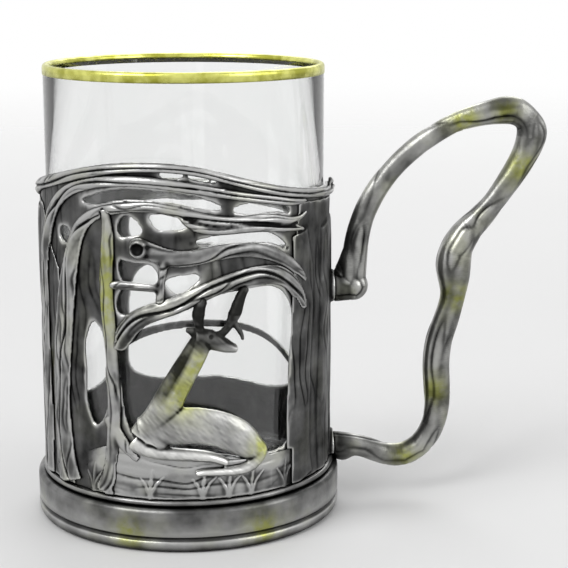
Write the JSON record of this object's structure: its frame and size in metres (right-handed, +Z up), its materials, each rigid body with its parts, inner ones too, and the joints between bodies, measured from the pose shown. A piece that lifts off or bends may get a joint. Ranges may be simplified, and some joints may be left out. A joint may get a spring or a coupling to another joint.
{
  "type": "tea glass holder",
  "caption": "Openwork metal tea glass holder (podstakannik) with woodland relief, a resting stag and a branch handle, holding a thin gilt-rimmed glass that lifts out.",
  "frame": {"origin": "centre of the foot's underside, on the table", "axes": "+Z up along the glass, +X towards the handle, the picture faces -Y"},
  "size_m": [0.1264, 0.075, 0.1101],
  "materials": {
    "patinated_brass": "cast and oxidised, rubbed brassy on the raised edges",
    "clear_glass": "clear, polished",
    "gilding": "fired bright gilding"
  },
  "bodies": {
    "holder": {"foot_ring": "patinated_brass", "base_plate": "patinated_brass", "bead_ring": "patinated_brass", "openwork_sleeve": "patinated_brass", "bank_relief": "patinated_brass", "tree_trunk": "patinated_brass", "handle_trunk": "patinated_brass", "sapling": "patinated_brass", "top_bough": "patinated_brass", "second_bough": "patinated_brass", "third_bough": "patinated_brass", "lower_bough": "patinated_brass", "main_branch": "patinated_brass", "stag": "patinated_brass", "rear_tree": "patinated_brass", "rear_top_bough": "patinated_brass", "rear_middle_bough": "patinated_brass", "rear_lower_bough": "patinated_brass", "rear_low_twig": "patinated_brass", "rear_high_twig": "patinated_brass", "handle": "patinated_brass", "handle_pins": "patinated_brass"},
    "glass": {"glass_tumbler": "clear_glass", "gilt_rim_band": "gilding"}
  },
  "joints": [
    {"name": "glass_lift", "type": "slide", "parent": "holder", "child": "glass", "axis": [0, 0, 1], "range_m": [0, 0.1]}
  ]
}
